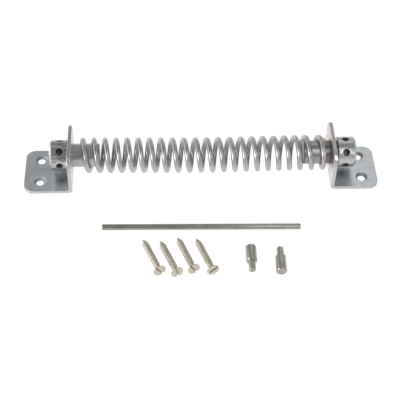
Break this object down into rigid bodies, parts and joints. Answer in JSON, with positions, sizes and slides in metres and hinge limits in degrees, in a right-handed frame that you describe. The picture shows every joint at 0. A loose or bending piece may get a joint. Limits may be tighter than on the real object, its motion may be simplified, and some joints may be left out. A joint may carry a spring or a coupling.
{
  "type": "gate spring closer",
  "caption": "Torsion spring gate closer: an open coil spring on winding spindles between screw-on angle brackets, with loose tommy bar, locking pins and wood screws.",
  "frame": {"origin": "Midway between the left bracket's two screw holes, on the mounting face.", "axes": "+X along the spring to the right bracket, +Z away from the mounting face, -Y towards the loose pieces."},
  "size_m": [0.276, 0.1287, 0.0344],
  "materials": {
    "zinc_plate": "bright zinc plated plate, satin",
    "turned_zinc": "bright zinc plated, turned",
    "spring_wire": "bright zinc plated wire",
    "bar_steel": "plain drawn steel",
    "pin_steel": "plain turned steel",
    "screw_nickel": "dull nickel plated"
  },
  "bodies": {
    "left_bracket": {"left_bracket": "zinc_plate"},
    "left_hub": {"left_spindle": "turned_zinc", "spring": "spring_wire"},
    "right_hub": {"right_spindle": "turned_zinc"},
    "right_bracket": {"right_bracket": "zinc_plate"},
    "tommy_bar": {"tommy_bar": "bar_steel"},
    "locking_pin_1": {"locking_pin_1": "pin_steel"},
    "locking_pin_2": {"locking_pin_2": "pin_steel"},
    "wood_screw_1": {"wood_screw_1": "screw_nickel"},
    "wood_screw_2": {"wood_screw_2": "screw_nickel"},
    "wood_screw_3": {"wood_screw_3": "screw_nickel"},
    "wood_screw_4": {"wood_screw_4": "screw_nickel"}
  },
  "joints": [
    {"name": "left_spindle_turn", "type": "hinge", "parent": "left_bracket", "child": "left_hub", "pos_m": [0.0166, 0, 0.0193], "axis": [1, 0, 0], "continuous": true},
    {"name": "spring_twist", "type": "hinge", "parent": "left_hub", "child": "right_hub", "pos_m": [0.237, 0, 0.0193], "axis": [1, 0, 0], "range_deg": [0, 150], "stiffness_Nm_per_rad": 1.5, "deforming": ["spring"]},
    {"name": "right_spindle_turn", "type": "hinge", "parent": "right_hub", "child": "right_bracket", "pos_m": [0.237, 0, 0.0193], "axis": [1, 0, 0], "continuous": true},
    {"name": "tommy_bar_lift", "type": "slide", "parent": "left_bracket", "child": "tommy_bar", "axis": [0, 0, 1], "range_m": [0, 0.08]},
    {"name": "locking_pin_1_lift", "type": "slide", "parent": "left_bracket", "child": "locking_pin_1", "axis": [0, 0, 1], "range_m": [0, 0.08]},
    {"name": "locking_pin_2_lift", "type": "slide", "parent": "left_bracket", "child": "locking_pin_2", "axis": [0, 0, 1], "range_m": [0, 0.08]},
    {"name": "wood_screw_1_lift", "type": "slide", "parent": "left_bracket", "child": "wood_screw_1", "axis": [0, 0, 1], "range_m": [0, 0.08]},
    {"name": "wood_screw_2_lift", "type": "slide", "parent": "left_bracket", "child": "wood_screw_2", "axis": [0, 0, 1], "range_m": [0, 0.08]},
    {"name": "wood_screw_3_lift", "type": "slide", "parent": "left_bracket", "child": "wood_screw_3", "axis": [0, 0, 1], "range_m": [0, 0.08]},
    {"name": "wood_screw_4_lift", "type": "slide", "parent": "left_bracket", "child": "wood_screw_4", "axis": [0, 0, 1], "range_m": [0, 0.08]}
  ]
}
